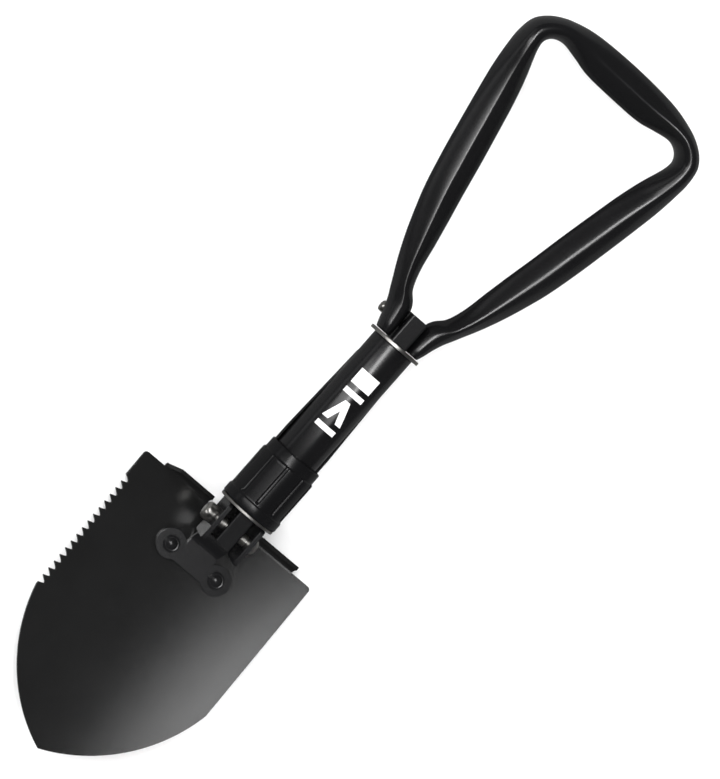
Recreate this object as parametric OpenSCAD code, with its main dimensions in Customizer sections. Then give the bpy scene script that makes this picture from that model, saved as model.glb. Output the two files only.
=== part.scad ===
// Folding camp shovel with a pointed steel blade, a screw collar lock and a
// triangular loop handle.  +Y runs from the blade tip to the handle, +Z is the
// front of the blade, and the shovel lies on its back with its heel at z = 0.

/* [Length] */
// Blade tip to crossbar, open
overall_len = 464.8; // [458:0.1:470]
// Hinge bolt to blade tip, along the blade
blade_len = 149; // [145:0.1:153]

/* [Blade] */
// Half width of the blade
blade_half_w = 57; // [50:0.5:60]
// Sheet thickness
blade_t = 2; // [1.5:0.1:2.5]
// Radius of the shallow dish across the blade
dish_r = 400; // [300:10:800]
// Forward pitch of the blade against the shaft, in degrees
blade_pitch = 7.5; // [5:0.1:8]
// Front of the blade below the hinge bolt
blade_drop = 22; // [21:0.1:24]
// Radius of each arc that runs to the tip
ogive_r = 94.7; // [93:0.1:98]
// Number of saw teeth on the left edge
saw_teeth = 16; // [8:1:16]
// Distance between saw teeth
saw_pitch = 4.45; // [4.3:0.05:4.6]
// Depth of the saw teeth
saw_depth = 3.6; // [2:0.1:4]
// Length of the foot treads along the heel
tread_len = 30; // [20:1:36]

/* [Hinge] */
// Half width over the two cam ears
ear_half_w = 12; // [11.5:0.1:13]
// Thickness of a cam ear
ear_t = 2.5; // [2:0.1:3]
// Hinge bolt to the upper edge of the ears
ear_top = 11.2; // [10.5:0.1:11.2]
// Corner radius of the ears
ear_corner_r = 2.6; // [2.4:0.1:3.2]
// Hinge bolt radius
bolt_r = 3.2; // [3:0.05:3.3]
// Spacing of the two blade rivets
rivet_span = 30.8; // [28:0.2:32]

/* [Shaft] */
// Outer radius of the tube
tube_r = 12.4; // [12:0.1:12.4]
// Wall of the tube
tube_wall = 1.4; // [1:0.1:1.4]
// Hinge bolt to the upper end of the tube
tube_top = 125.5; // [124:0.1:125.5]
// Width of the steel core channel
core_w = 9.8; // [9:0.1:10.6]
// Depth of the steel core channel
core_d = 17; // [16:0.1:17]
// Wall of the core channel
core_wall = 2; // [1.5:0.1:2.2]

/* [Collar] */
// Radius over the collar's lower rim
rim_r = 17.1; // [17:0.1:17.6]
// Radius of the fluted grip
grip_r = 16.4; // [16.2:0.1:16.8]
// Radius of the plain neck
neck_r = 15.5; // [15.4:0.1:15.8]
// Bore of the collar
collar_bore_r = 14.8; // [14.7:0.05:14.8]
// Number of grip flutes
flutes = 10; // [6:1:14]
// Lock washer radius
lock_washer_r = 16.8; // [16:0.1:17]

/* [Handle] */
// Hinge bolt to handle pin
handle_pin_y = 137.4; // [137:0.1:138]
// Handle pin behind the shaft axis
handle_pin_back = 6.5; // [6.5:0.1:7]
// Half width over the loop
loop_half_w = 59.8; // [56:0.1:62]
// Width of the tube in the plane of the loop
loop_bar_w = 20.5; // [18:0.1:22]
// Depth of the loop from front to back
loop_depth = 16; // [15:0.5:16]
// Wall of the handle tube
loop_wall = 1.5; // [1.2:0.1:2]
// Handle pin radius
pin_r = 3; // [2.8:0.05:3.1]

/* [Hidden] */
$fn = 96;

// Running clearance of a pin in its bore, and the gap between parts that pass
pin_play = 0.08;
part_gap = 0.3;

// Hinge bolt in the part's frame
reach = blade_len * cos(blade_pitch) + (blade_drop + blade_t) * sin(blade_pitch);
hinge_y = reach - overall_len / 2;
heel_y = 4;
axis_z = (blade_drop + blade_t) * cos(blade_pitch) + heel_y * sin(blade_pitch);

// Blade outline
arc_above_tip = 87.8;
arc_x = sqrt(ogive_r * ogive_r - arc_above_tip * arc_above_tip);
arc_y = arc_above_tip - blade_len;
shoulder_y = arc_y - sqrt(ogive_r * ogive_r - pow(blade_half_w + arc_x, 2));
saw_start_y = -16.3;
saw_gullet_r = 0.5;
heel_corner_r = 2;

// Bracket
ear_bottom = -12.2;
ear_front = 11.3;
ear_back = -14.2;
web_t = 2.1;
plate_top = -19.7;
rivet_y = -24.5;
lobe_r = 8.3;
neck_half_w = 9.1;
bone_low_y = -30.6;
bone_high_y = -18.4;
neck_fillet_r = 3;
rivet_r = 2.5;

// Shaft and collar stack, from the hinge bolt
washer_low = ear_top + part_gap;
washer_t = 1.5;
collar_low = washer_low + washer_t + 0.2;
thrust_t = 1.9;
rim_top = 18.9;
grip_top = 44.4;
collar_top = 50.5;
collar_lift = 20.5;
tube_low = collar_low + thrust_t + collar_lift + 0.6;
sleeve_r = collar_bore_r - 0.4;
sleeve_top = collar_top - 0.9;
shell_low = sleeve_top + 0.2;
shell_r = collar_bore_r - part_gap;
shell_full_y = 59;
shell_top_y = 112;
shell_t = 1;
core_low = -8.2;
core_top = 144.6;
core_corner_r = 1;
guide_r = tube_r - tube_wall - 0.05;
guide_len = 9;
top_washer_r = 15.6;
top_washer_t = 1.8;
top_washer_flat = 9.3;
leg_low = tube_top + top_washer_t + part_gap;
leg_inner = core_w / 2 + 0.4;

// Handle
loop_top = overall_len - reach;
pad_depth = 25;

// ---- helpers --------------------------------------------------------------

module at_hinge() {
    translate([0, hinge_y, axis_z]) children();
}

module at_blade() {
    at_hinge() rotate([-blade_pitch, 0, 0]) children();
}

// Extrudes an outline drawn in Y and Z from x0 to x1
module along_x(x0, x1) {
    translate([x0, 0, 0]) rotate([90, 0, 90]) linear_extrude(x1 - x0) children();
}

// Extrudes an outline drawn in X and Z from y0 to y1
module along_y(y0, y1) {
    translate([0, y1, 0]) rotate([90, 0, 0]) linear_extrude(y1 - y0) children();
}

// Turns an outline drawn as radius and height about the Y axis
module turned_y() {
    rotate([-90, 0, 0]) rotate_extrude() children();
}

module rod_x(r, x0, x1) {
    translate([x0, 0, 0]) rotate([0, 90, 0]) cylinder(r = r, h = x1 - x0);
}

module rod_y(r, y0, y1) {
    translate([0, y0, 0]) rotate([-90, 0, 0]) cylinder(r = r, h = y1 - y0);
}

module round_box(low, high, r) {
    translate([low[0] + r, low[1]]) square([high[0] - low[0] - 2 * r, high[1] - low[1]]);
    translate([low[0], low[1] + r]) square([high[0] - low[0], high[1] - low[1] - 2 * r]);
    for (x = [low[0] + r, high[0] - r], y = [low[1] + r, high[1] - r]) {
        translate([x, y]) circle(r, $fn = 48);
    }
}

// The space above the dished front of the blade, or above its back
module above_dish(drop, r) {
    translate([0, -180, r - drop]) rotate([-90, 0, 0]) cylinder(r = r, h = 220, $fn = 720);
}

// ---- blade ----------------------------------------------------------------

module blade_outline() {
    steps = 24;
    a0 = asin((shoulder_y - arc_y) / ogive_r);
    a1 = asin((-blade_len - arc_y) / ogive_r);
    arc = [for (i = [0 : steps]) let (a = a0 + (a1 - a0) * i / steps)
        [ogive_r * cos(a) - arc_x, ogive_r * sin(a) + arc_y]];
    side = concat([[blade_half_w, -20]], arc);
    polygon(concat(side, [for (i = [len(side) - 2 : -1 : 0]) [-side[i][0], side[i][1]]]));
    round_box([-blade_half_w, -40], [blade_half_w, heel_y], heel_corner_r);
}

// One saw notch: a steep lower flank, a round gullet and a slanting upper flank
module saw_notch() {
    gullet_y = 1.4;
    tip_w = 0.4;
    polygon([[-1, 0], [0.4, 0], [saw_depth - 0.35, gullet_y - 0.44], [saw_depth, gullet_y],
        [saw_depth - 0.15, gullet_y + 0.35], [0, saw_pitch - tip_w], [-1, saw_pitch - tip_w]]);
    translate([saw_depth - saw_gullet_r, gullet_y]) circle(saw_gullet_r, $fn = 24);
}

// A forward-bent lip along the heel for the foot
module foot_tread(side) {
    inner = 14;
    along_x(side > 0 ? inner : -inner - tread_len, side > 0 ? inner + tread_len : -inner)
        polygon([[2, -25], [heel_y, -25], [heel_y, -23], [4.6, -21.4], [6.4, -16.2], [4.4, -15.6],
            [2.4, -21]]);
}

module blade_plate() {
    color([0.10, 0.10, 0.11]) at_blade() difference() {
        union() {
            difference() {
                intersection() {
                    translate([0, 0, -26]) linear_extrude(20) blade_outline();
                    above_dish(blade_drop + blade_t, dish_r + blade_t);
                }
                above_dish(blade_drop, dish_r);
            }
            intersection() {
                union() {
                    foot_tread(1);
                    foot_tread(-1);
                }
                above_dish(blade_drop + blade_t, dish_r + blade_t);
            }
        }
        for (i = [0 : saw_teeth - 1]) {
            translate([-blade_half_w, saw_start_y - i * saw_pitch, -26]) linear_extrude(14) saw_notch();
        }
        for (side = [-1, 1]) {
            translate([side * rivet_span / 2, rivet_y, -30]) cylinder(r = rivet_r, h = 12);
        }
    }
}

module dog_bone() {
    for (side = [-1, 1]) {
        translate([side * rivet_span / 2, rivet_y]) circle(lobe_r);
        difference() {
            translate([side * (neck_half_w + neck_fillet_r / 2), bone_high_y + neck_fillet_r / 2])
                square(neck_fillet_r, center = true);
            translate([side * (neck_half_w + neck_fillet_r), bone_high_y + neck_fillet_r])
                circle(neck_fillet_r, $fn = 48);
        }
    }
    translate([-rivet_span / 2, bone_low_y]) square([rivet_span, bone_high_y - bone_low_y]);
    translate([-neck_half_w, bone_high_y - 1]) square([2 * neck_half_w, 4]);
}

module hinge_bracket() {
    color([0.11, 0.11, 0.12]) {
        difference() {
            at_hinge() union() {
                for (x = [-ear_half_w, ear_half_w - ear_t]) {
                    along_x(x, x + ear_t)
                        round_box([ear_bottom, ear_back], [ear_top, ear_front], ear_corner_r);
                }
                along_x(-ear_half_w + 0.5, ear_half_w - 0.5)
                    translate([ear_bottom + 1.4, ear_back]) square([ear_top - ear_bottom - 2.8, web_t]);
            }
            at_hinge() rod_x(bolt_r, -20, 20);
        }
        at_blade() {
            along_x(-neck_half_w, neck_half_w)
                polygon([[-7.5, -12.9], [-11.2, -13.3], [-17, -19.7], [-17.5, -22], [-14.4, -22],
                    [-7.5, -15.2]]);
            difference() {
                intersection() {
                    translate([0, 0, -24]) linear_extrude(24 + plate_top) dog_bone();
                    above_dish(blade_drop, dish_r);
                }
                for (side = [-1, 1]) {
                    translate([side * rivet_span / 2, rivet_y, -30]) cylinder(r = rivet_r, h = 14);
                }
            }
        }
    }
}

// Domed head in a flat ring on the front, shank, and a low formed head behind
module blade_rivet(side) {
    ring_r = 4.6;
    dome_r = 3.3;
    back_z = -23.8;
    color([0.12, 0.12, 0.13]) at_blade() translate([side * rivet_span / 2, rivet_y, 0]) {
        rotate_extrude() union() {
            polygon([[0, plate_top], [ring_r, plate_top], [ring_r, plate_top + 0.7],
                [ring_r - 0.4, plate_top + 1.1], [dome_r, plate_top + 1.1],
                [dome_r * 0.8, plate_top + 2], [0, plate_top + 2.5]]);
            polygon([[0, back_z - 1.4], [3, back_z - 1.4], [4, back_z - 0.6], [4, back_z], [0, back_z]]);
        }
        translate([0, 0, back_z]) cylinder(r = rivet_r, h = plate_top - back_z);
    }
}

module blade_rivet_left() {
    blade_rivet(-1);
}

module blade_rivet_right() {
    blade_rivet(1);
}

// Domed bolt from the right, staked into the nut on the left
module hinge_bolt() {
    head_r = 5;
    head_h = 4.8;
    color([0.66, 0.66, 0.64]) at_hinge() {
        rod_x(bolt_r, -ear_half_w - 6.4, ear_half_w);
        translate([ear_half_w, 0, 0]) rotate([0, 90, 0]) rotate_extrude()
            polygon(concat([[0, 0], [head_r, 0]],
                [for (a = [0 : 15 : 75]) [head_r * cos(a), 1.2 + (head_h - 1.2) * sin(a)]],
                [[0, head_h]]));
    }
}

module hinge_nut() {
    nut_r = 5;
    nut_len = 6.2;
    color([0.62, 0.62, 0.6]) at_hinge() translate([-ear_half_w - nut_len, 0, 0]) rotate([0, 90, 0])
        rotate_extrude() polygon([[bolt_r, 0], [nut_r - 1.2, 0], [nut_r, 1.2], [nut_r, nut_len],
            [bolt_r, nut_len]]);
}

// ---- shaft ----------------------------------------------------------------

module shaft_tube() {
    color([0.08, 0.08, 0.085]) at_hinge() difference() {
        rod_y(tube_r, tube_low, tube_top);
        rod_y(tube_r - tube_wall, tube_low - 1, tube_top + 1);
        for (y = [80, 102]) {
            translate([0, y, -tube_r - 3]) cylinder(r = 2, h = 5);
        }
    }
}

// U channel, open at the back, with lugs at its upper end for the handle pin
module core_channel() {
    half = core_w / 2;
    color([0.09, 0.09, 0.095]) at_hinge() difference() {
        union() {
            along_y(core_low, core_top) difference() {
                round_box([-half, -core_d / 2], [half, core_d / 2], core_corner_r);
                translate([-half + core_wall, -core_d]) square([core_w - 2 * core_wall,
                    1.5 * core_d - core_wall]);
            }
            for (x = [-half, half - core_wall]) {
                along_x(x, x + core_wall) round_box([leg_low + 2, -handle_pin_back - 5],
                    [core_top, 0], 3);
            }
        }
        rod_x(bolt_r + pin_play, -20, 20);
        translate([0, handle_pin_y, -handle_pin_back]) rod_x(pin_r + pin_play, -20, 20);
    }
}

// Thin half-round cover that stands off the back of the tube and tapers up into it
module rear_shell() {
    color([0.08, 0.08, 0.085]) at_hinge() difference() {
        turned_y() polygon([[shell_r - shell_t, shell_low], [shell_r, shell_low],
            [shell_r, shell_full_y], [tube_r + 0.2, shell_top_y], [tube_r + 0.01, shell_top_y],
            [tube_r + 0.01, shell_top_y - 12], [shell_r - shell_t, shell_full_y]]);
        translate([-20, shell_low - 1, -1]) cube([40, 80, 40]);
        for (y = [80, 102]) {
            translate([0, y, -20]) cylinder(r = 2, h = 12);
        }
    }
}

// Countersunk-free round rivet that holds the shell to the tube
module shell_rivet(y, face) {
    color([0.12, 0.12, 0.13]) at_hinge() translate([0, y, 0]) {
        translate([0, 0, -face]) cylinder(r = 2, h = face - tube_r + tube_wall + 0.4);
        translate([0, 0, -face - 1]) cylinder(r1 = 2.6, r2 = 3.6, h = 1);
    }
}

module shell_rivet_lower() {
    shell_rivet(80, 13.9);
}

module shell_rivet_upper() {
    shell_rivet(102, 13.1);
}

module screw_sleeve() {
    thread_pitch = 3;
    groove = 0.7;
    color([0.14, 0.14, 0.14]) at_hinge() turned_y() difference() {
        translate([tube_r, tube_low]) square([sleeve_r - tube_r, sleeve_top - tube_low]);
        for (y = [tube_low + 1.5 : thread_pitch : sleeve_top - 1]) {
            polygon([[sleeve_r + 0.1, y - 0.8], [sleeve_r - groove, y], [sleeve_r + 0.1, y + 0.8]]);
        }
    }
}

module core_guide(y0) {
    fit = 0.05;
    color([0.3, 0.3, 0.3]) at_hinge() difference() {
        rod_y(guide_r, y0, y0 + guide_len);
        along_y(y0 - 1, y0 + guide_len + 1) square([core_w + 2 * fit, core_d + 2 * fit], center = true);
    }
}

module lower_guide() {
    core_guide(tube_low + 0.3);
}

module upper_guide() {
    core_guide(tube_top - guide_len - 0.3);
}

// Clamping washer under the handle legs, with a flat at the back that lets the
// folded legs pass
module top_washer() {
    color([0.72, 0.72, 0.7]) at_hinge() along_y(tube_top, tube_top + top_washer_t) difference() {
        circle(top_washer_r);
        square([core_w + 0.3, core_d + 0.3], center = true);
        translate([-20, -40 - top_washer_flat]) square([40, 40]);
    }
}

module channel_spacer() {
    half = core_w / 2 - core_wall;
    difference() {
        rod_x(4.6, -half, half);
        rod_x(3.2 + pin_play, -half - 1, half + 1);
    }
}

module bolt_spacer() {
    color([0.6, 0.6, 0.58]) at_hinge() channel_spacer();
}

module pin_spacer() {
    color([0.6, 0.6, 0.58]) at_hinge() translate([0, handle_pin_y, -handle_pin_back]) channel_spacer();
}

// ---- collar ---------------------------------------------------------------

module lock_washer() {
    color([0.72, 0.72, 0.7]) at_hinge() along_y(washer_low, washer_low + washer_t) difference() {
        circle(lock_washer_r);
        square([core_w + 2 * part_gap, core_d + 2 * part_gap], center = true);
    }
}

module collar_grip() {
    flute_w = 2.2;
    flute_depth = 0.8;
    color([0.10, 0.10, 0.105]) at_hinge() difference() {
        turned_y() polygon([[rim_r - 0.8, collar_low], [rim_r, collar_low + 0.8],
            [rim_r, rim_top - 0.6], [grip_r + 0.1, rim_top], [grip_r, grip_top - 0.6],
            [grip_r - 0.6, grip_top], [neck_r, grip_top], [neck_r, collar_top - 0.5],
            [neck_r - 0.3, collar_top], [0, collar_top], [0, collar_low]]);
        rod_y(collar_bore_r, collar_low - 1, collar_top + 1);
        for (i = [0 : flutes - 1]) {
            rotate([0, i * 360 / flutes, 0]) translate([-flute_w / 2, rim_top - 1, grip_r - flute_depth])
                cube([flute_w, grip_top - rim_top, 3]);
        }
    }
}

module thrust_ring() {
    hole_r = 10.5;
    color([0.5, 0.5, 0.48]) at_hinge() difference() {
        rod_y(collar_bore_r, collar_low, collar_low + thrust_t);
        rod_y(hole_r, collar_low - 1, collar_low + thrust_t + 1);
    }
}

// ---- handle ---------------------------------------------------------------

function bezier(p, t) = p[0] * pow(1 - t, 3) + p[1] * 3 * t * pow(1 - t, 2)
    + p[2] * 3 * t * t * (1 - t) + p[3] * pow(t, 3);

function curve(p, steps) = [for (i = [0 : steps]) bezier(p, i / steps)];

// Right half of the loop, from the leg's foot over the corner to the middle,
// drawn smaller by the inset all round for the space inside the tube
module half_loop(inset, foot_y) {
    w = loop_half_w - inset;
    top = loop_top - inset;
    bar = loop_top - loop_bar_w + inset;
    leg_top = loop_top - 34;
    outer_leg = curve([[13.7 - inset, foot_y], [26 - inset, 158], [w - 7.8, 205], [w, leg_top]], 14);
    outer_corner = curve([[w, leg_top], [w + 1, top - 14], [w - 16, top - 3], [w - 40, top - 0.8]], 12);
    inner_bar = curve([[0, bar], [24, bar - 1], [30, bar + 4], [39 + inset, bar + 4]], 8);
    inner_corner = curve([[39 + inset, bar + 4], [46 + inset, bar + 4], [46 + inset, leg_top + 8],
        [42.8 + inset, leg_top - 1]], 8);
    inner_leg = curve([[42.8 + inset, leg_top - 1], [34 + inset, 250], [21 + inset, 200],
        [12.9 + inset, 154.5]], 12);
    knuckle = curve([[12.9 + inset, 154.5], [10 + inset, 150], [leg_inner + inset, 148],
        [leg_inner + inset, core_top]], 6);
    polygon(concat(outer_leg, outer_corner, [[0, top]], inner_bar, inner_corner, inner_leg, knuckle,
        [[leg_inner + inset, foot_y]]));
}

module handle_corner(inset) {
    intersection() {
        translate([0, 0, inset - pad_depth / 2])
            linear_extrude(pad_depth - 2 * inset) half_loop(inset, leg_low);
        translate([loop_half_w - 19 + inset, loop_top - 40 + inset, -20]) cube([30, 32 - inset, 40]);
    }
}

module handle_loop() {
    half = loop_depth / 2;
    relief_z = -5.5;
    relief_w = 16.5;
    boss_r = 5;
    color([0.08, 0.08, 0.085]) at_hinge() difference() {
        for (side = [0, 1]) {
            mirror([side, 0, 0]) {
                difference() {
                    union() {
                        translate([0, 0, -half]) linear_extrude(loop_depth) half_loop(0, leg_low);
                        handle_corner(0);
                    }
                    difference() {
                        translate([0, 0, loop_wall - half]) linear_extrude(loop_depth - 2 * loop_wall)
                            half_loop(loop_wall, leg_low - 1);
                        translate([0, leg_low - 2, -half])
                            cube([relief_w + loop_wall, 28, half + relief_z + loop_wall]);
                    }
                    handle_corner(loop_wall);
                }
                // Pivot boss behind the leg
                along_x(leg_inner, 11.5) {
                    translate([handle_pin_y, -handle_pin_back]) circle(boss_r);
                }
            }
        }
        // Dimples in the backs of the legs, where the folded loop passes the washer
        for (side = [0, 1]) {
            mirror([side, 0, 0]) translate([0, handle_pin_y + boss_r + 0.4, relief_z - 8])
                cube([relief_w, 8, 8]);
        }
        // Rounded heel so that the leg clears the washer as it swings
        translate([0, leg_low, -half]) rotate([45, 0, 0]) cube([60, 5, 5], center = true);
        translate([0, handle_pin_y, -handle_pin_back]) rod_x(pin_r, -30, 30);
    }
}

module handle_pin() {
    end_x = 18;
    color([0.66, 0.66, 0.64]) at_hinge() translate([0, handle_pin_y, -handle_pin_back]) {
        rod_x(pin_r, -end_x, end_x);
        for (side = [-1, 1]) {
            rotate([0, side * 90, 0]) translate([0, 0, end_x])
                cylinder(r1 = pin_r, r2 = pin_r - 1, h = 0.7);
        }
    }
}

shaft_tube();
core_channel();
rear_shell();
shell_rivet_lower();
shell_rivet_upper();
screw_sleeve();
lower_guide();
upper_guide();
top_washer();
bolt_spacer();
pin_spacer();
blade_plate();
hinge_bracket();
blade_rivet_left();
blade_rivet_right();
hinge_bolt();
hinge_nut();
lock_washer();
collar_grip();
thrust_ring();
handle_loop();
handle_pin();
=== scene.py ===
import math

import bmesh
import bpy
from mathutils import Matrix, Vector, noise


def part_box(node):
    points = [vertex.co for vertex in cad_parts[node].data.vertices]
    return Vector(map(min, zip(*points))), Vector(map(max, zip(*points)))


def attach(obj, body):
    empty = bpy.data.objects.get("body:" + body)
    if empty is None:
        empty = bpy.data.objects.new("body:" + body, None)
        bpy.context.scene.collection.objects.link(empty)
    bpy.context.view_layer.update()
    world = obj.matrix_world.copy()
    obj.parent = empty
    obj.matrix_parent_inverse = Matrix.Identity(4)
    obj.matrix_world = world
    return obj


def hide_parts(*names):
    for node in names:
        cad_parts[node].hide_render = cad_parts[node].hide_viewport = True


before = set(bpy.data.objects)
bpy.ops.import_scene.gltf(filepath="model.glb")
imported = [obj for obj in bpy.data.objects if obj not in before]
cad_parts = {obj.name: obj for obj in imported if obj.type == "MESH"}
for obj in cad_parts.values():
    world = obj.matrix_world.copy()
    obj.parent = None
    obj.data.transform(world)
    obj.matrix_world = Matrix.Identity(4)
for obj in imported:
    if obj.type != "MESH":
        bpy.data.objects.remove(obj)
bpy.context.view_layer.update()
MM = 0.001

# ---- Studio -----------------------------------------------------------------
# The shovel lies on its back on a plain white sweep. A long and a short strip box hang
# to its left above it, a small one stands low at its left, and fills light the paper.


def hex_rgb(code):
    """An sRGB hex colour as linear values, opaque."""
    parts = [int(code[i:i + 2], 16) / 255 for i in (0, 2, 4)]
    linear = [c / 12.92 if c <= 0.04045 else ((c + 0.055) / 1.055) ** 2.4 for c in parts]
    return (*linear, 1.0)


def add_node(material, kind, settings=None, **links):
    """Adds a node. Settings are its properties, or sockets by name; links are sockets by name."""
    made = material.node_tree.nodes.new(kind)
    for name, value in (settings or {}).items():
        if hasattr(made, name):
            setattr(made, name, value)
        else:
            made.inputs[int(name) if name.isdigit() else name].default_value = value
    for name, source in links.items():
        socket = made.inputs[int(name[1:]) if name[1:].isdigit() else name.replace("_", " ")]
        material.node_tree.links.new(source, socket)
    return made


def new_material(name):
    """An empty node material, its node tree cleared."""
    made = bpy.data.materials.new(name)
    made.use_nodes = True
    made.node_tree.nodes.clear()
    return made


def close_material(made, shader):
    """Joins the shader to the output."""
    add_node(made, "ShaderNodeOutputMaterial", Surface=shader.outputs[0])
    return made


def place_light(name, centre, target, size, power):
    """A rectangular soft box at centre, facing target."""
    data = bpy.data.lights.new(name, "AREA")
    data.shape = "RECTANGLE"
    data.size, data.size_y = size
    data.energy = power
    lamp = bpy.data.objects.new(name, data)
    bpy.context.collection.objects.link(lamp)
    lamp.location = centre
    lamp.rotation_mode = "QUATERNION"
    lamp.rotation_quaternion = (Vector(target) - Vector(centre)).to_track_quat("-Z", "Y")
    return lamp


hinge = (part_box("hinge_nut")[0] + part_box("hinge_nut")[1]) / 2
axis_z = hinge.z
hinge_y = hinge.y

# Long lens well above the shovel, a little to its left, with the shaft
# running up to the right across the view
view_dir = Vector((-0.2271, 0.0272, 0.9735)).normalized()
view_distance = 1.676
view_aim = Vector((0.0019, hinge_y + 0.0975, axis_z))
shaft_angle = math.radians(48.63)
lens_mm = 151.45
along = Vector((0, 1, 0)) - view_dir * view_dir.y
along.normalize()
across = along.cross(view_dir)
cam_right = along * math.cos(shaft_angle) + across * math.sin(shaft_angle)
cam_up = along * math.sin(shaft_angle) - across * math.cos(shaft_angle)
camera = bpy.data.objects.new("camera", bpy.data.cameras.new("camera"))
bpy.context.collection.objects.link(camera)
camera.data.lens = lens_mm
camera.data.sensor_width = 36
camera.data.clip_end = 20
turn = Matrix((cam_right, cam_up, view_dir)).transposed()
camera.matrix_world = Matrix.Translation(view_aim + view_dir * view_distance) @ turn.to_4x4()
bpy.context.scene.camera = camera

# The soft boxes, aimed at the middle of the shovel
stage_mid = (0, 0, axis_z)
box_height = 1.25
for name, lean, y, size, power in (("shaft_strip", -23, 0.05, (0.24, 1.4), 5.6),
                                   ("blade_strip", -15, 0.26, (0.14, 0.6), 5.8)):
    lean = math.radians(lean)
    place = (box_height * math.sin(lean), y, box_height * math.cos(lean))
    place_light(name, place, stage_mid, size, power)
place_light("left_edge", (-1.2, 0.1, 0.35), stage_mid, (0.9, 0.25), 0.45)
# The fills only brighten the paper: black cards keep them out of the coating's shine
fill_reach, fill_height, fill_size, fill_power = 1.45, 0.75, (1.6, 0.8), 19
for name, x, y in (("left_fill", -1, 0), ("right_fill", 1, 0), ("low_fill", 0, -1),
                   ("high_fill", 0, 1)):
    fill_place = (fill_reach * x, fill_reach * y, fill_height)
    place_light(name, fill_place, stage_mid, fill_size, fill_power).visible_glossy = False

world = bpy.data.worlds.new("studio")
bpy.context.scene.world = world
world.use_nodes = True
world.node_tree.nodes["Background"].inputs["Color"].default_value = hex_rgb("f4f5f7")
world.node_tree.nodes["Background"].inputs["Strength"].default_value = 0.08
bpy.context.scene.view_settings.view_transform = "Standard"

# White paper sweep: matt, with the faint mottle of paper stock
paper = new_material("white_paper")
paper_place = add_node(paper, "ShaderNodeTexCoord")
paper_mottle = add_node(paper, "ShaderNodeTexNoise", {"Scale": 9.0, "Detail": 3.0},
                        Vector=paper_place.outputs["Object"])
paper_tone = add_node(paper, "ShaderNodeMix", {"data_type": "RGBA", "6": hex_rgb("f7f7f7"),
                                               "7": hex_rgb("fcfcfc")},
                      _0=paper_mottle.outputs["Fac"])
# Painted reflection: in the coats' shine the paper is painted grey, as if black cards stood round
# the shovel
paper_rays = add_node(paper, "ShaderNodeLightPath")
paper_painted_reflection = add_node(paper, "ShaderNodeMix", {"data_type": "RGBA", "7": hex_rgb("6a6a6a")},
                        _0=paper_rays.outputs["Is Glossy Ray"], _6=paper_tone.outputs[2])
close_material(paper, add_node(paper, "ShaderNodeBsdfPrincipled", {"Roughness": 0.9},
                               Base_Color=paper_painted_reflection.outputs[2]))
floor_half, floor_gap = 6, 0.0005
floor_mesh = bmesh.new()
bmesh.ops.create_grid(floor_mesh, x_segments=1, y_segments=1, size=floor_half)
floor_data = bpy.data.meshes.new("floor")
floor_mesh.to_mesh(floor_data)
floor_mesh.free()
floor = bpy.data.objects.new("floor", floor_data)
floor.location = (0, 0, -floor_gap)
floor_data.materials.append(paper)
bpy.context.collection.objects.link(floor)

# ---- Shaft tube ---------------------------------------------------------------
# Drawn steel tube, 24.8 mm across with a 1.4 mm wall, cut square and powder
# coated semi-gloss black. The core channel runs through it.


def lathe(profile, steps=96, axis="Y", closed=True):
    """A bmesh turned about the hinge-height axis from (distance along, radius) pairs."""
    turned = bmesh.new()
    centre = Vector((0, hinge_y, axis_z))
    direction = Vector((0, 1, 0)) if axis == "Y" else Vector((1, 0, 0))
    points = [turned.verts.new(centre + direction * a * MM + Vector((0, 0, r * MM)))
              for a, r in profile]
    pairs = zip(points, points[1:] + points[:1]) if closed else zip(points, points[1:])
    edges = [turned.edges.new(pair) for pair in pairs]
    bmesh.ops.spin(turned, geom=points + edges, cent=centre, axis=direction,
                   angle=math.tau, steps=steps, use_merge=True)
    bmesh.ops.remove_doubles(turned, verts=turned.verts, dist=1e-7)
    bmesh.ops.recalc_face_normals(turned, faces=turned.faces)
    return turned


def soften(shape, width, segments=2, sharp=28, where=None):
    """Rounds the edges where two faces meet more sharply than the angle."""
    chosen = [e for e in shape.edges if len(e.link_faces) == 2
              and e.calc_face_angle(0) > math.radians(sharp) and (where is None or where(e))]
    bmesh.ops.bevel(shape, geom=chosen, affect="EDGES", offset=width * MM, segments=segments,
                    profile=0.5, material=-1, clamp_overlap=True)


def finish_piece(name, shape, material, body, nodes=(), crease=40):
    """Makes the object from a bmesh, smooth but for its sharp edges, and gives it to its body."""
    data = bpy.data.meshes.new(name)
    shape.normal_update()
    shape.to_mesh(data)
    shape.free()
    data.shade_smooth()
    data.set_sharp_from_angle(angle=math.radians(crease))
    data.materials.append(material)
    made = bpy.data.objects.new(name, data)
    bpy.context.collection.objects.link(made)
    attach(made, body)
    if nodes:
        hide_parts(*nodes)
    return made


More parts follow.
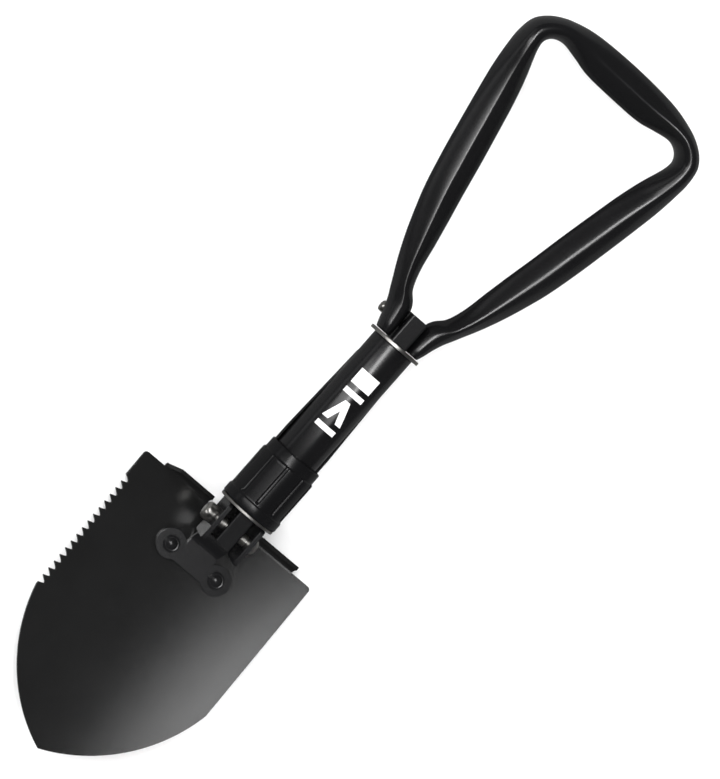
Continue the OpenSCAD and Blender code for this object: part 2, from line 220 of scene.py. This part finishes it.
def coat(name, tint, pale, roughness, grain_mm, grain_depth, spread=0.06, shine=0.5):
    """Black coated steel: a fine grain in the film, with tone and gloss that drift slowly."""
    made = new_material(name)
    place = add_node(made, "ShaderNodeTexCoord")
    grain = add_node(made, "ShaderNodeTexNoise", {"Scale": 1 / (grain_mm * MM), "Detail": 3.0,
                                                  "Roughness": 0.6},
                     Vector=place.outputs["Object"])
    drift = add_node(made, "ShaderNodeTexNoise", {"Scale": 1 / (28 * MM), "Detail": 4.0,
                                                  "Roughness": 0.55},
                     Vector=place.outputs["Object"])
    tone = add_node(made, "ShaderNodeMix", {"data_type": "RGBA", "6": hex_rgb(tint),
                                            "7": hex_rgb(pale)}, _0=drift.outputs["Fac"])
    gloss = add_node(made, "ShaderNodeMapRange", {"To Min": roughness - spread,
                                                  "To Max": roughness + spread},
                     Value=drift.outputs["Fac"])
    bump = add_node(made, "ShaderNodeBump", {"Strength": 0.5, "Distance": grain_depth * MM},
                    Height=grain.outputs["Fac"])
    shader = add_node(made, "ShaderNodeBsdfPrincipled", {"IOR": 1.5, "Specular IOR Level": shine},
                      Base_Color=tone.outputs[2], Roughness=gloss.outputs[0],
                      Normal=bump.outputs[0])
    return close_material(made, shader)


# Semi-gloss polyester powder: smooth, with the soft ripple of orange peel
gloss_powder = coat("semi_gloss_powder", "0b0b0c", "101011", 0.24, 1.6, 0.03, 0.04)

tube_low, tube_top, tube_r, tube_wall = 36.2, 125.5, 12.4, 1.4
tube = lathe([(tube_low, tube_r - tube_wall), (tube_low, tube_r), (tube_top, tube_r),
              (tube_top, tube_r - tube_wall)])
soften(tube, 0.35, 3)
finish_piece("tube", tube, gloss_powder, "shaft", ["shaft_tube"])

# ---- Mark on the tube -----------------------------------------------------------
# A plain white printed mark on the bare stretch of the tube: three bars and a peak. It
# is pad printed, so it is a film that follows the tube.


def at(x, y, z):
    """A point given in millimetres from the hinge bolt."""
    return Vector((x * MM, hinge_y + y * MM, axis_z + z * MM))


def flat_faces(outlines):
    """A bmesh of flat faces, joined where their points meet."""
    shape = bmesh.new()
    for outline in outlines:
        shape.faces.new([shape.verts.new(point) for point in outline])
    bmesh.ops.remove_doubles(shape, verts=shape.verts, dist=1e-6)
    return shape


ink = new_material("white_print")
ink_place = add_node(ink, "ShaderNodeTexCoord")
ink_wear = add_node(ink, "ShaderNodeTexNoise", {"Scale": 1 / (3 * MM), "Detail": 4.0},
                    Vector=ink_place.outputs["Object"])
ink_tone = add_node(ink, "ShaderNodeMix", {"data_type": "RGBA", "6": hex_rgb("dcdcdc"),
                                           "7": hex_rgb("f0f0f0")}, _0=ink_wear.outputs["Fac"])
close_material(ink, add_node(ink, "ShaderNodeBsdfPrincipled", {"Roughness": 0.5},
                             Base_Color=ink_tone.outputs[2]))

mark_turn = -6
mark_lift = 0.05
mark_outlines = [
    [(-6.2, 70), (6.2, 70), (6.2, 73), (-6.2, 73)],
    [(-6.2, 76), (-2.4, 76), (0, 83), (2.4, 76), (6.2, 76), (1.6, 89), (-1.6, 89)],
    [(-6.2, 92), (6.2, 92), (6.2, 95), (-6.2, 95)],
    [(-6.2, 98), (6.2, 98), (6.2, 107), (-6.2, 107)],
]
mark = flat_faces([[Vector((x * MM, y * MM, 0)) for x, y in outline] for outline in mark_outlines])
mark_cuts = 6
for step in range(-mark_cuts, mark_cuts + 1):
    bmesh.ops.bisect_plane(mark, geom=mark.verts[:] + mark.edges[:] + mark.faces[:],
                           plane_co=(step * MM, 0, 0), plane_no=(1, 0, 0))
for vert in mark.verts:
    bend = vert.co.x / (tube_r * MM) + math.radians(mark_turn)
    out = tube_r + mark_lift
    vert.co = at(out * math.sin(bend), vert.co.y / MM, out * math.cos(bend))
bmesh.ops.recalc_face_normals(mark, faces=mark.faces)
bmesh.ops.solidify(mark, geom=mark.faces, thickness=mark_lift * MM)
bmesh.ops.recalc_face_normals(mark, faces=mark.faces)
finish_piece("tube_mark", mark, ink, "shaft")

# ---- Core, rear shell and inner parts ------------------------------------------------
# The steel channel runs from the hinge bolt to the handle pin. A thin cover is riveted
# behind the tube, a threaded sleeve is pressed on it, and nylon guides fill its bore.


def refinish(material, *nodes):
    """Gives CAD nodes that stay as they are a material."""
    for name in nodes:
        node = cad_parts[name]
        node.data.materials.clear()
        node.data.materials.append(material)


# Satin coat, thinner and drier than the tube's
satin_coat = coat("satin_coat", "0e0e0f", "141415", 0.25, 0.9, 0.015, 0.03, 0.35)

# Nylon moulding: even, slightly waxy
nylon = new_material("moulded_nylon")
nylon_place = add_node(nylon, "ShaderNodeTexCoord")
nylon_cloud = add_node(nylon, "ShaderNodeTexNoise", {"Scale": 1 / (6 * MM), "Detail": 2.0},
                       Vector=nylon_place.outputs["Object"])
nylon_tone = add_node(nylon, "ShaderNodeMix", {"data_type": "RGBA", "6": hex_rgb("3c3c3b"),
                                               "7": hex_rgb("474746")},
                      _0=nylon_cloud.outputs["Fac"])
close_material(nylon, add_node(nylon, "ShaderNodeBsdfPrincipled", {"Roughness": 0.48},
                               Base_Color=nylon_tone.outputs[2]))


def zinc(name, tint, pale, roughness, marks):
    """Zinc plate: crystal-grey tones and fine marks. marks is the noise's stretch on x, y and z."""
    made = new_material(name)
    place = add_node(made, "ShaderNodeTexCoord")
    stretch = add_node(made, "ShaderNodeMapping", {"Scale": marks}, Vector=place.outputs["Object"])
    grain = add_node(made, "ShaderNodeTexNoise", {"Scale": 1 / MM, "Detail": 5.0, "Roughness": 0.7},
                     Vector=stretch.outputs[0])
    cloud = add_node(made, "ShaderNodeTexNoise", {"Scale": 1 / (4 * MM), "Detail": 4.0},
                     Vector=place.outputs["Object"])
    both = add_node(made, "ShaderNodeMath", {"operation": "MULTIPLY"}, _0=grain.outputs["Fac"],
                    _1=cloud.outputs["Fac"])
    spread = add_node(made, "ShaderNodeMapRange", {"From Min": 0.1, "From Max": 0.42},
                      Value=both.outputs[0])
    tone = add_node(made, "ShaderNodeMix", {"data_type": "RGBA", "6": hex_rgb(tint),
                                            "7": hex_rgb(pale)}, _0=spread.outputs[0])
    gloss = add_node(made, "ShaderNodeMapRange", {"To Min": roughness - 0.1,
                                                  "To Max": roughness + 0.1},
                     Value=cloud.outputs["Fac"])
    bump = add_node(made, "ShaderNodeBump", {"Strength": 0.5, "Distance": 0.03 * MM},
                    Height=grain.outputs["Fac"])
    shader = add_node(made, "ShaderNodeBsdfPrincipled", {"Metallic": 1.0},
                      Base_Color=tone.outputs[2], Roughness=gloss.outputs[0],
                      Normal=bump.outputs[0])
    return close_material(made, shader)


# Tumbled zinc plate on small turned parts
tumbled_zinc = zinc("tumbled_zinc", "8e8d8a", "d2d0cb", 0.36, (2.0, 2.0, 2.0))

refinish(satin_coat, "core_channel", "shell_rivet_lower", "shell_rivet_upper", "screw_sleeve")
refinish(gloss_powder, "rear_shell")
refinish(nylon, "lower_guide", "upper_guide")
refinish(tumbled_zinc, "bolt_spacer", "pin_spacer")

# ---- Washers ------------------------------------------------------------------------
# Two stamped zinc-plated washers, each with a square hole over the core. The lower one
# bears on the cam ears; the upper one is clamped under the handle's feet.


def stamped_washer(name, node, radius, thickness, low, hole, body, flat=None):
    """A stamped round plate across the shaft, its hole given as (half width, half depth)."""
    steps = 48
    halves = []
    for side in (-1, 1):
        rim = []
        for i in range(steps + 1):
            turn_angle = math.pi * i / steps
            x, z = radius * math.sin(turn_angle), radius * math.cos(turn_angle)
            if flat and z < -flat:
                x, z = x * flat / -z if x > 1e-6 else 0, -flat
                x = min(x, math.sqrt(radius ** 2 - flat ** 2))
            rim.append(at(side * x, low, z))
        inner = [at(0, low, -hole[1]), at(side * hole[0], low, -hole[1]),
                 at(side * hole[0], low, hole[1]), at(0, low, hole[1])]
        halves.append(rim + inner)
    shape = flat_faces(halves)
    bmesh.ops.recalc_face_normals(shape, faces=shape.faces)
    for face in shape.faces:
        if face.normal.y > 0:
            face.normal_flip()
    made = bmesh.ops.extrude_face_region(shape, geom=shape.faces[:])
    moved = [v for v in made["geom"] if isinstance(v, bmesh.types.BMVert)]
    bmesh.ops.translate(shape, verts=moved, vec=(0, thickness * MM, 0))
    bmesh.ops.recalc_face_normals(shape, faces=shape.faces)
    soften(shape, 0.22, 2, 50)
    return finish_piece(name, shape, stamped_zinc, body, [node], 15)


# Rolled sheet under zinc plate: fine lines round the rim left by the stamping
stamped_zinc = zinc("stamped_zinc", "8f8e8b", "b0aeaa", 0.34, (0.5, 4.0, 0.5))

stamped_washer("lower_washer", "lock_washer", 16.8, 1.5, 11.5, (5.5, 9.1), "washer")
stamped_washer("upper_washer", "top_washer", 15.6, 1.8, 125.5, (5.05, 8.65), "shaft", 9.3)

# ---- Collar -------------------------------------------------------------------------
# Moulded screw collar with a plain rim, ten shallow grip flutes and a plain neck. A
# steel ring is moulded into its lower end to bear on the washer.

# Moulded plastic with a fine satin texture
collar_plastic = coat("satin_moulding", "0a0a0b", "0f0f10", 0.25, 0.5, 0.012, 0.02, 0.22)

flute_count, flute_width, flute_depth = 10, 2.3, 0.85
first_flute = math.radians(-28.3)
collar_bore, rim_r, grip_r, neck_r = 14.8, 17.1, 16.4, 15.5
# (distance from the hinge, radius, how deep the flutes are there)
collar_rows = [
    (13.2, collar_bore, 0), (13.2, rim_r - 0.9, 0), (13.35, rim_r - 0.4, 0),
    (13.75, rim_r - 0.08, 0), (14.3, rim_r, 0), (18.2, rim_r, 0), (18.6, rim_r - 0.1, 0),
    (18.9, grip_r + 0.3, 0), (19.1, grip_r + 0.05, 0), (19.7, grip_r, 0), (20.1, grip_r, 0.45),
    (20.6, grip_r, 0.8), (21.3, grip_r, 1), (42.4, grip_r, 1), (43.4, grip_r, 1),
    (43.9, grip_r - 0.12, 1), (44.2, grip_r - 0.35, 0.9), (44.4, grip_r - 0.7, 0.2),
    (44.5, neck_r + 0.1, 0), (44.8, neck_r, 0), (50.0, neck_r, 0), (50.35, neck_r - 0.15, 0),
    (50.5, neck_r - 0.4, 0), (50.5, collar_bore, 0),
]
collar_steps = 36
collar = bmesh.new()
collar_rings = []
for row_y, row_r, row_flute in collar_rows:
    ring = []
    for i in range(flute_count * collar_steps):
        angle = first_flute + math.tau * i / (flute_count * collar_steps)
        off = (i % collar_steps - collar_steps / 2) / collar_steps * math.tau / flute_count * grip_r
        inside = max(0.0, 1 - (abs(off) / (flute_width / 2)) ** 3)
        r = row_r - flute_depth * row_flute * inside ** 0.7
        ring.append(collar.verts.new(at(r * math.sin(angle), row_y, r * math.cos(angle))))
    collar_rings.append(ring)
for ring, next_ring in zip(collar_rings, collar_rings[1:] + collar_rings[:1]):
    for i, vert in enumerate(ring):
        j = (i + 1) % len(ring)
        collar.faces.new((vert, ring[j], next_ring[j], next_ring[i]))
bmesh.ops.recalc_face_normals(collar, faces=collar.faces)
finish_piece("collar", collar, collar_plastic, "collar", ["collar_grip"])
refinish(tumbled_zinc, "thrust_ring")

# ---- Blade --------------------------------------------------------------------------
# 2 mm sheet steel, dished across its width, with a saw edge on the left, a pointed tip
# and two lips bent forward along the heel for the foot. It is powder coated matt black.

blade_len, blade_half, blade_t, dish_r, blade_drop = 149.0, 57.0, 2.0, 400.0, 22.0
blade_pitch = math.radians(-7.5)
heel_y, heel_corner = 4.0, 2.0
ogive_r, ogive_x, ogive_y = 94.7, -35.5, -61.2
shoulder_y = -81.5
saw_first, saw_pitch, saw_teeth = -16.3, 4.45, 16
tread_in, tread_out = 14.0, 44.0


def at_blade(x, y, z):
    """A point given in millimetres from the hinge bolt, in the blade's own tilt."""
    return at(0, 0, 0) + Matrix.Rotation(blade_pitch, 3, "X") @ Vector((x * MM, y * MM, z * MM))


# Fine pebbled powder, duller than the tube's, with paler traces where it is thin
blade_coat = coat("matt_powder", "121212", "191919", 0.16, 0.6, 0.06, 0.02)

corner = [(math.radians(a), heel_corner) for a in range(90, -1, -15)]
right_side = [(blade_half - r + r * math.cos(a), heel_y - r + r * math.sin(a)) for a, r in corner]
ogive_from = math.atan2(shoulder_y - ogive_y, blade_half - ogive_x)
ogive_to = math.atan2(-blade_len - ogive_y, -ogive_x)
ogive_steps = 32
ogive = []
for i in range(ogive_steps + 1):
    angle = ogive_from + (ogive_to - ogive_from) * i / ogive_steps
    ogive.append((ogive_x + ogive_r * math.cos(angle), ogive_y + ogive_r * math.sin(angle)))


def left_edge(y):
    """The blade's left edge at a distance along it, before the teeth are cut."""
    if y > shoulder_y:
        return -blade_half
    return -ogive_x - math.sqrt(ogive_r ** 2 - (y - ogive_y) ** 2)


# Each notch, up from the tip below it as (depth, run): a steep flank, a round gullet and a
# long flank that slants out to the next rounded tip
notch = [(0.38, 0.0), (0.55, 0.2), (1.3, 0.42), (2.6, 0.85), (3.3, 1.1), (3.55, 1.35), (3.5, 1.7),
         (3.2, 2.05), (2.5, 2.65), (1.6, 3.3), (0.85, 3.8), (0.48, 4.12)]
top_notch = notch[:-2] + [(0.6, 3.8), (0.1, 4.0), (0.0, 4.15)]
saw = []
for tooth in range(saw_teeth):
    for depth, run in reversed(notch if tooth else top_notch):
        tooth_y = saw_first - tooth * saw_pitch + run
        saw.append((left_edge(tooth_y) + depth, tooth_y))
left_side = [(-x, y) for x, y in reversed(right_side)]
left_ogive = [(-x, y) for x, y in reversed(ogive[:-1]) if y < saw[-1][1] - 0.3]
outline = right_side + ogive + left_ogive + saw[::-1] + left_side
blade = bmesh.new()
blade.faces.new([blade.verts.new((x * MM, y * MM, 0)) for x, y in outline])
tread_ends = [side * (x + step) for side in (-1, 1) for x in (tread_in, tread_out)
              for step in (-0.8, 0, 0.8)]
cuts = [((x, 0), (1, 0, 0)) for x in [*range(-51, 52, 3), *tread_ends]]
cuts += [((0, y), (0, 1, 0)) for y in [*range(-144, 0, 6), 2.9]]
for (cut_x, cut_y), facing in cuts:
    bmesh.ops.bisect_plane(blade, geom=blade.verts[:] + blade.edges[:] + blade.faces[:],
                           plane_co=(cut_x * MM, cut_y * MM, 0), plane_no=facing)
bmesh.ops.remove_doubles(blade, verts=blade.verts, dist=1e-6)

# The foot lips, drawn up from the heel row by row as (further along, further forward)
lip_rows = [(0.4, 0.08), (0.45, 0.25), (0.4, 0.5), (0.45, 1.2), (0.4, 1.6), (0.3, 1.5)]
lip_edges = []
for edge in blade.edges:
    middle = (edge.verts[0].co + edge.verts[1].co) / 2
    on_heel = all(abs(v.co.y - heel_y * MM) < 1e-6 for v in edge.verts)
    if len(edge.link_faces) == 1 and on_heel and tread_in * MM < abs(middle.x) < tread_out * MM:
        lip_edges.append(edge)
tread_ramp = 8.0
for step_y, step_z in lip_rows:
    grown = bmesh.ops.extrude_edge_only(blade, edges=lip_edges)["geom"]
    lip_edges = [e for e in grown if isinstance(e, bmesh.types.BMEdge)]
    for vert in [v for v in grown if isinstance(v, bmesh.types.BMVert)]:
        share = min(1.0, max(0.12, (vert.co.x / MM + tread_out) / tread_ramp))
        vert.co += Vector((0, step_y * share * MM, step_z * share * MM))
for vert in blade.verts:
    x = vert.co.x / MM
    vert.co = at_blade(x, vert.co.y / MM, vert.co.z / MM - blade_drop
                       + dish_r - math.sqrt(dish_r ** 2 - x ** 2))
bmesh.ops.recalc_face_normals(blade, faces=blade.faces)
for face in blade.faces:
    if face.normal.z < 0:
        face.normal_flip()
bmesh.ops.solidify(blade, geom=blade.faces, thickness=blade_t * MM)
bmesh.ops.recalc_face_normals(blade, faces=blade.faces)
soften(blade, 0.45, 3, 55)
finish_piece("blade", blade, blade_coat, "blade", ["blade_plate"], 12)

# ---- Hinge bracket and blade rivets ---------------------------------------------------
# One bent plate: two square cam ears with rounded corners, the web behind them, and a
# ramp down to the two riveted lobes. The rivets are set with a domed snap.

ear_outer, ear_thick, ear_low, ear_high, ear_front, ear_back = 12.0, 2.5, -12.2, 11.2, 11.3, -14.2
ear_corner, web_thick, bend_r = 2.6, 2.1, 2.4
profile = [(-ear_outer, ear_front), (-ear_outer, ear_back), (ear_outer, ear_back),
           (ear_outer, ear_front), (ear_outer - ear_thick, ear_front),
           (ear_outer - ear_thick, ear_back + web_thick),
           (ear_thick - ear_outer, ear_back + web_thick), (ear_thick - ear_outer, ear_front)]
ears = bmesh.new()
ears.faces.new([ears.verts.new(at(x, ear_low, z)) for x, z in profile])
ears_made = bmesh.ops.extrude_face_region(ears, geom=ears.faces[:])
bmesh.ops.translate(ears, verts=[v for v in ears_made["geom"] if isinstance(v, bmesh.types.BMVert)],
                    vec=(0, (ear_high - ear_low) * MM, 0))
bmesh.ops.recalc_face_normals(ears, faces=ears.faces)


def along_axis(edge, axis):
    """True if the edge runs along X (0), Y (1) or Z (2)."""
    run = edge.verts[1].co - edge.verts[0].co
    return abs(run[axis]) > 0.99 * run.length


def round_edges(shape, chosen, radius, segments):
    """Rounds the chosen edges to a radius."""
    bmesh.ops.bevel(shape, geom=chosen, affect="EDGES", offset=radius * MM, segments=segments,
                    profile=0.5, material=-1, clamp_overlap=True)


def outer_bend(edge):
    """The bracket's two bends behind the ears."""
    return along_axis(edge, 1) and all(v.co.z < axis_z + (ear_back + 0.1) * MM for v in edge.verts)


def ear_tip(edge):
    """The short edges at the corners of the ears."""
    return along_axis(edge, 0) and all(v.co.z > axis_z + (ear_front - 0.1) * MM for v in edge.verts)


round_edges(ears, [e for e in ears.edges if outer_bend(e)], bend_r, 10)
round_edges(ears, [e for e in ears.edges if ear_tip(e)], ear_corner, 10)
soften(ears, 0.35, 2, 50)

# The ramp, drawn along and through in the blade's tilt, and pushed across
neck_half = 9.1
ramp_from, ramp_to, ramp_top, ramp_foot, ramp_steps = -9.5, -15.8, -12.9, -19.72, 16
ramp_outline = []
for i in range(ramp_steps + 1):
    share = i / ramp_steps
    ease = share * share * (3 - 2 * share)
    ramp_outline.append((ramp_from + (ramp_to - ramp_from) * share,
                         ramp_top + (ramp_foot - ramp_top) * ease))
ramp_outline = [(-7.5, -12.7)] + ramp_outline + [(ramp_to, -22.2), (-14.2, -22.0), (-7.5, -15.2)]
ramp = flat_faces([[at_blade(-neck_half, y, z) for y, z in ramp_outline]])
ramp_made = bmesh.ops.extrude_face_region(ramp, geom=ramp.faces[:])
bmesh.ops.translate(ramp, verts=[v for v in ramp_made["geom"] if isinstance(v, bmesh.types.BMVert)],
                    vec=(2 * neck_half * MM, 0, 0))
bmesh.ops.recalc_face_normals(ramp, faces=ramp.faces)
soften(ramp, 0.4, 2, 60)

# The two lobes with the flat between them, as one outline
lobe_x, lobe_y, lobe_r, lobe_thick = 15.4, -24.5, 8.3, 2.4
bone_low, plate_top = -30.6, -19.7
lobe_from = -math.pi - math.asin((bone_low - lobe_y) / lobe_r)
lobe_to = math.radians(138)
lobe_steps = 30
right_lobe = []
for i in range(lobe_steps + 1):
    angle = lobe_from + i * (lobe_to - lobe_from) / lobe_steps
    right_lobe.append((lobe_x + lobe_r * math.cos(angle), lobe_y + lobe_r * math.sin(angle)))
bone = right_lobe + [(9.3, -18.2), (9.1, -17.2), (9.1, -15.6)]
bone_outline = bone + [(-x, y) for x, y in reversed(bone)]
lobes = flat_faces([[at_blade(x, y, plate_top) for x, y in bone_outline]])
for face in lobes.faces:
    if face.normal.z > 0:
        face.normal_flip()
lobes_made = bmesh.ops.extrude_face_region(lobes, geom=lobes.faces[:])
bmesh.ops.translate(lobes, verts=[v for v in lobes_made["geom"]
                                  if isinstance(v, bmesh.types.BMVert)],
                    vec=Matrix.Rotation(blade_pitch, 3, "X") @ Vector((0, 0, -lobe_thick * MM)))
bmesh.ops.recalc_face_normals(lobes, faces=lobes.faces)
soften(lobes, 0.45, 3, 55)


def join(target, *others):
    """Adds closed bmeshes to the first."""
    for other in others:
        data = bpy.data.meshes.new("part")
        other.to_mesh(data)
        other.free()
        target.from_mesh(data)
        bpy.data.meshes.remove(data)
    return target


bracket_coat = coat("bracket_powder", "101011", "161617", 0.25, 0.6, 0.035, 0.02)
finish_piece("bracket", join(ears, ramp, lobes), bracket_coat, "blade",
             ["hinge_bracket"], 12)


def blade_rivet(name, side, node):
    """A rivet turned about the line through the blade, its head on the bracket."""
    rows = [(0, plate_top + 2.5), (0.9, plate_top + 2.42), (1.7, plate_top + 2.15),
            (2.4, plate_top + 1.7), (2.9, plate_top + 1.15), (3.2, plate_top + 0.75),
            (3.5, plate_top + 0.72), (4.0, plate_top + 0.95), (4.35, plate_top + 0.8),
            (4.6, plate_top + 0.4), (4.6, plate_top - 0.1), (2.5, plate_top - 0.1), (2.5, -23.6),
            (4.0, -23.6), (4.0, -24.3), (3.0, -25.1), (0, -25.2)]
    shape = bmesh.new()
    x = side * lobe_x
    points = [shape.verts.new(at_blade(x + r, lobe_y, z)) for r, z in rows]
    edges = [shape.edges.new(pair) for pair in zip(points, points[1:])]
    bmesh.ops.spin(shape, geom=points + edges, cent=at_blade(x, lobe_y, 0),
                   axis=at_blade(0, 0, 1) - at_blade(0, 0, 0), angle=math.tau, steps=48,
                   use_merge=True)
    bmesh.ops.remove_doubles(shape, verts=shape.verts, dist=1e-6)
    bmesh.ops.recalc_face_normals(shape, faces=shape.faces)
    finish_piece(name, shape, bracket_coat, "blade", [node])


blade_rivet("rivet_left", -1, "blade_rivet_left")
blade_rivet("rivet_right", 1, "blade_rivet_right")

# ---- Hinge bolt and nut -----------------------------------------------------------------
# A domed zinc-plated bolt goes in from the right. Its end is staked over the nut on the
# left, which leaves the nut's rim bruised.

bolt_r, head_r, head_h = 3.2, 5.0, 4.8
head_rows = [(ear_outer, bolt_r), (ear_outer, head_r - 0.15), (ear_outer + 0.15, head_r)]
head_rows += [(ear_outer + 1.2 + (head_h - 1.2) * math.sin(math.radians(a)),
               head_r * math.cos(math.radians(a))) for a in range(0, 90, 10)]
bolt = lathe([(-ear_outer - 6.4, 0), (-ear_outer - 6.4, bolt_r - 0.5), (-ear_outer - 5.9, bolt_r)]
             + head_rows + [(ear_outer + head_h, 0)], 64, "X", False)
finish_piece("hinge_bolt_domed", bolt, tumbled_zinc, "blade", ["hinge_bolt"])

nut = lathe([(-ear_outer, bolt_r - 0.02), (-ear_outer, 4.8), (-ear_outer - 0.3, 5.0),
             (-ear_outer - 1.3, 5.0), (-ear_outer - 2.3, 5.0), (-ear_outer - 3.3, 5.0),
             (-ear_outer - 4.3, 4.95), (-ear_outer - 5.0, 4.8), (-ear_outer - 5.6, 4.4),
             (-ear_outer - 6.0, 4.0), (-ear_outer - 6.2, 3.6), (-ear_outer - 6.2, bolt_r - 0.02)],
            64, "X")
bruise_scale, bruise_depth = 520, 1.0
for vert in nut.verts:
    radial = Vector((0, vert.co.y - hinge_y, vert.co.z - axis_z))
    if radial.length > (bolt_r + 0.3) * MM:
        dent = min(0.0, noise.noise(vert.co * bruise_scale)) * bruise_depth * MM
        vert.co += radial.normalized() * dent
finish_piece("hinge_nut_staked", nut, tumbled_zinc, "blade", ["hinge_nut"])

# ---- Loop handle --------------------------------------------------------------------------
# One steel tube bent into a triangle. Its corners are pinched in the plane of the loop,
# its feet are flattened against the core, and a peened pin holds them.

# Half the loop from a foot to the middle of the crossbar: the outer point and the inner
# point of the tube (across, along), half its depth, and how far it is creased along
# its front, from 0 where it is round
loop_rings = [
    (13.7, 127.7, 5.4, 127.7, 7.2, 0.0), (15.3, 132.0, 5.3, 132.0, 8.0, 0.0),
    (16.9, 137.0, 5.3, 138.5, 8.0, 0.1), (19.4, 142.8, 5.4, 144.6, 8.0, 0.4),
    (21.8, 147.2, 7.6, 149.0, 8.0, 0.6), (24.2, 151.8, 12.0, 154.0, 8.0, 0.8),
    (28.8, 160.6, 15.6, 164.0, 8.0, 0.9), (34.0, 172.0, 18.2, 177.0, 8.0, 1.0),
    (39.0, 185.0, 21.3, 191.5, 8.0, 1.0), (43.5, 198.5, 24.6, 206.0, 8.0, 1.0),
    (47.9, 216.0, 28.4, 224.0, 8.0, 1.0), (51.6, 233.0, 32.4, 241.5, 8.2, 1.0),
    (55.2, 250.5, 36.6, 259.0, 8.8, 0.9), (58.2, 266.5, 40.6, 272.5, 10.0, 0.8),
    (59.5, 279.0, 43.9, 281.0, 11.6, 0.4), (59.6, 288.0, 46.0, 286.6, 12.4, 0.1),
    (57.9, 296.8, 46.6, 290.8, 12.5, 0.0), (53.2, 302.8, 44.8, 294.4, 12.5, 0.0),
    (46.5, 307.2, 41.0, 296.8, 12.2, 0.1), (39.5, 309.9, 36.0, 297.4, 11.2, 0.3),
    (30.0, 312.2, 27.5, 295.8, 9.6, 0.6), (18.0, 313.4, 17.5, 293.8, 8.6, 0.8),
    (0.0, 313.9, 0.0, 293.4, 8.2, 0.9),
]


def spline(values, t):
    """Catmull-Rom value at t, counted in rows of values."""
    i = min(int(t), len(values) - 2)
    f = t - i
    rows = [values[max(0, i - 1)], values[i], values[i + 1], values[min(len(values) - 1, i + 2)]]
    result = []
    for a, b, c, d in zip(*rows):
        result.append(0.5 * (2 * b + (c - a) * f + (2 * a - 5 * b + 4 * c - d) * f * f
                             + (3 * b - a - 3 * c + d) * f ** 3))
    return result


def clamp01(value):
    """The value, kept between 0 and 1."""
    return min(1.0, max(0.0, value))


ring_detail, ring_steps = 5, 80
crease, right_crest = 0.2, 0.14
round_power, flank_power = 0.5, 0.22
whole_loop = loop_rings + [(-a, b, -c, *rest) for a, b, c, *rest in reversed(loop_rings[:-1])]
handle = bmesh.new()
handle_rings = []
for k in range((len(whole_loop) - 1) * ring_detail + 1):
    ox, oy, ix, iy, depth, ridge = spline(whole_loop, k / ring_detail)
    # The crease runs nearer the outer edge on the right leg than on the left
    crest = right_crest * ridge * max(0.0, 1 - k / (ring_detail * (len(loop_rings) - 1)))
    ring = []
    for i in range(ring_steps):
        angle = math.tau * i / ring_steps
        c = math.cos(angle)
        share = 0.5 + 0.5 * c
        c = (c - crest) / (1 - math.copysign(crest, c - crest))
        fall = (1 - ridge) * c * c + ridge * (math.hypot(c, crease) - crease) / (
            math.hypot(1, crease) - crease)
        rise = max(0.0, 1 - fall) ** (round_power + flank_power * ridge)
        ring.append(handle.verts.new(at(ix + (ox - ix) * share, iy + (oy - iy) * share,
                                        math.copysign(depth * rise, math.sin(angle)))))
    handle_rings.append(ring)
for ring, next_ring in zip(handle_rings, handle_rings[1:]):
    for i, vert in enumerate(ring):
        j = (i + 1) % ring_steps
        handle.faces.new((vert, ring[j], next_ring[j], next_ring[i]))
handle.faces.new(handle_rings[0])
handle.faces.new(handle_rings[-1])
bmesh.ops.recalc_face_normals(handle, faces=handle.faces)
soften(handle, 0.8, 3, 50)
# The backs of the legs are pressed in where they pass the upper washer as the loop folds
press_start, press_end, press_half_width, press_edge = 141.5, 154.5, 18.5, 2.5
press_depth, leg_back = 2.6, -8.2
for vert in handle.verts:
    x, y, z = (vert.co - at(0, 0, 0)) / MM
    press = clamp01((y - press_start) / press_edge) * clamp01((press_end - y) / press_edge)
    press *= clamp01((press_half_width - abs(x)) / press_edge)
    if press > 0:
        vert.co.z = max(vert.co.z, at(0, 0, leg_back + press_depth * press).z)
finish_piece("loop_tube", handle, gloss_powder, "handle", ["handle_loop"], 50)

pin_y, pin_z, pin_r = 137.4, -6.5, 3.0
pin = bmesh.new()
pin_rows = [(-18.2, 0), (-18.2, 1.2), (-18.0, 2.2), (-17.5, 2.9), (-16.9, 3.0), (16.9, 3.0),
            (17.5, 2.9), (18.0, 2.2), (18.2, 1.2), (18.2, 0)]
pin_points = [pin.verts.new(at(x, pin_y, pin_z + r)) for x, r in pin_rows]
pin_edges = [pin.edges.new(pair) for pair in zip(pin_points, pin_points[1:])]
bmesh.ops.spin(pin, geom=pin_points + pin_edges, cent=at(0, pin_y, pin_z), axis=(1, 0, 0),
               angle=math.tau, steps=48, use_merge=True)
bmesh.ops.remove_doubles(pin, verts=pin.verts, dist=1e-6)
bmesh.ops.recalc_face_normals(pin, faces=pin.faces)
finish_piece("peened_pin", pin, tumbled_zinc, "handle", ["handle_pin"])
